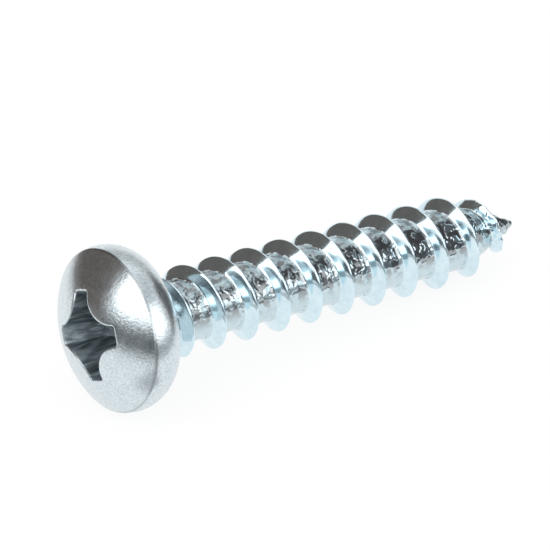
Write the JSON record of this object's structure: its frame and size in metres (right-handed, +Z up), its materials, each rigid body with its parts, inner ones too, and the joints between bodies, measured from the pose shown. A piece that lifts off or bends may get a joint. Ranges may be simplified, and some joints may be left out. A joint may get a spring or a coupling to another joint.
{
  "type": "sheet metal screw",
  "caption": "Pan head sheet metal screw with a cross recess, a coarse right-hand thread up to the head and a sharp gimlet point, in bright zinc plated steel.",
  "frame": {"origin": "on the screw's axis, at the centre of the head's bearing face", "axes": "+Z up. +X is the way the point faces, seen from above; the axis itself dips below it by the rest tilt, because the screw lies on its head's rim and on its last full crests"},
  "size_m": [0.0285, 0.009, 0.009],
  "materials": {
    "zinc_plated_steel": "bright zinc plating, satin on the head and shinier on the rolled thread"
  },
  "bodies": {
    "root": {"screw": "zinc_plated_steel"}
  },
  "joints": []
}
